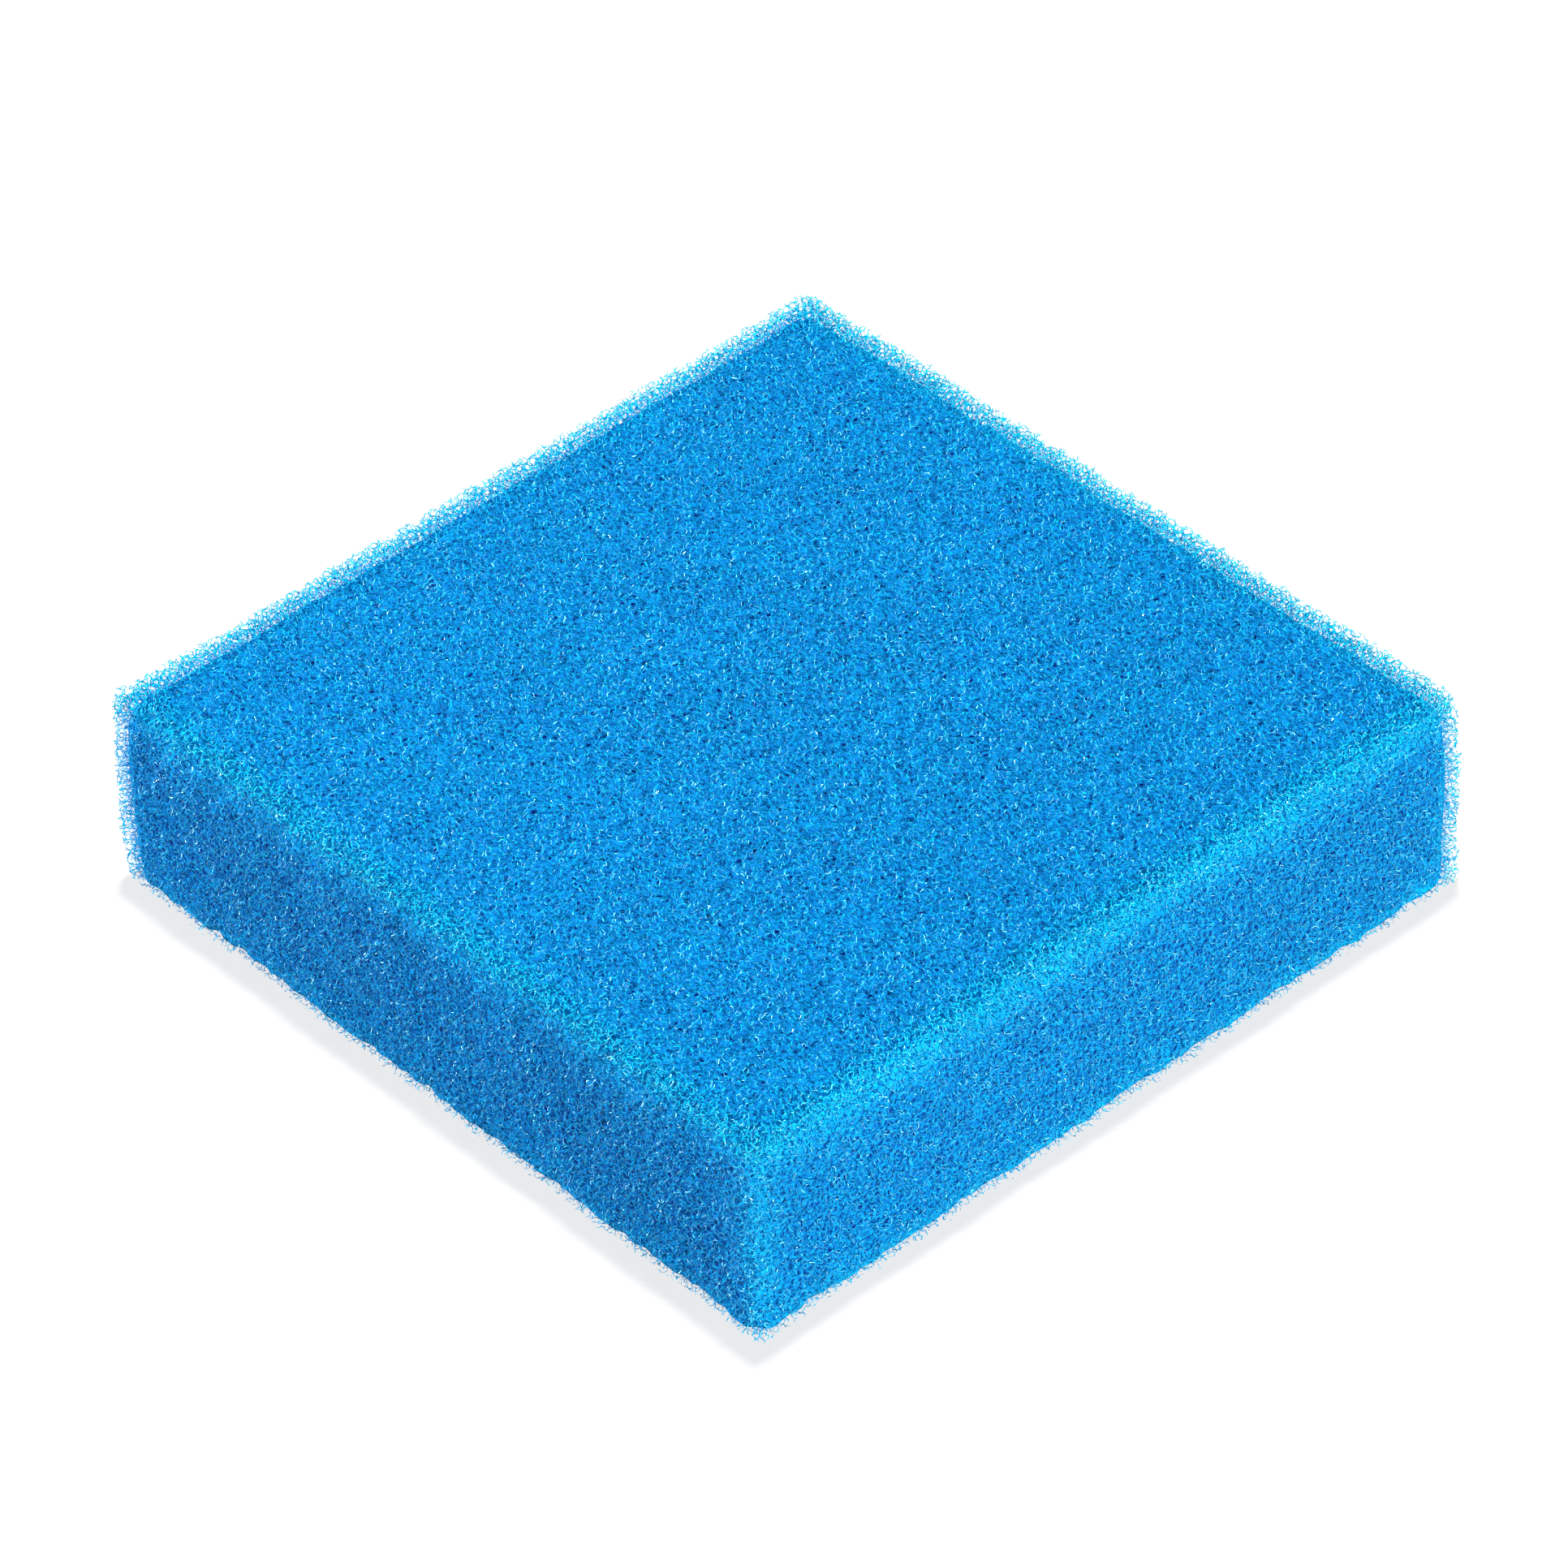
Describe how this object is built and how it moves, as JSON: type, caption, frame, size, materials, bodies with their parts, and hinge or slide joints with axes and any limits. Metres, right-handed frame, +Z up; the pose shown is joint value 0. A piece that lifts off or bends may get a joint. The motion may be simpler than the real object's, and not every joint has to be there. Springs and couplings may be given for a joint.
{
  "type": "filter sponge",
  "caption": "Square slab of blue open-cell foam with flat cut faces and open cells along every edge, for a liquid or air to pass through and leave its dirt in the cells.",
  "frame": {"origin": "middle of the underside, on the surface that the slab lies on", "axes": "+Z up through the thickness, +X and +Y along the two equal cut sides"},
  "size_m": [0.125, 0.125, 0.032],
  "materials": {
    "foam": "soft open-cell polyurethane foam, dyed blue right through, with a slight shine on its strands"
  },
  "bodies": {
    "root": {"filter_sponge": "foam"}
  },
  "joints": []
}
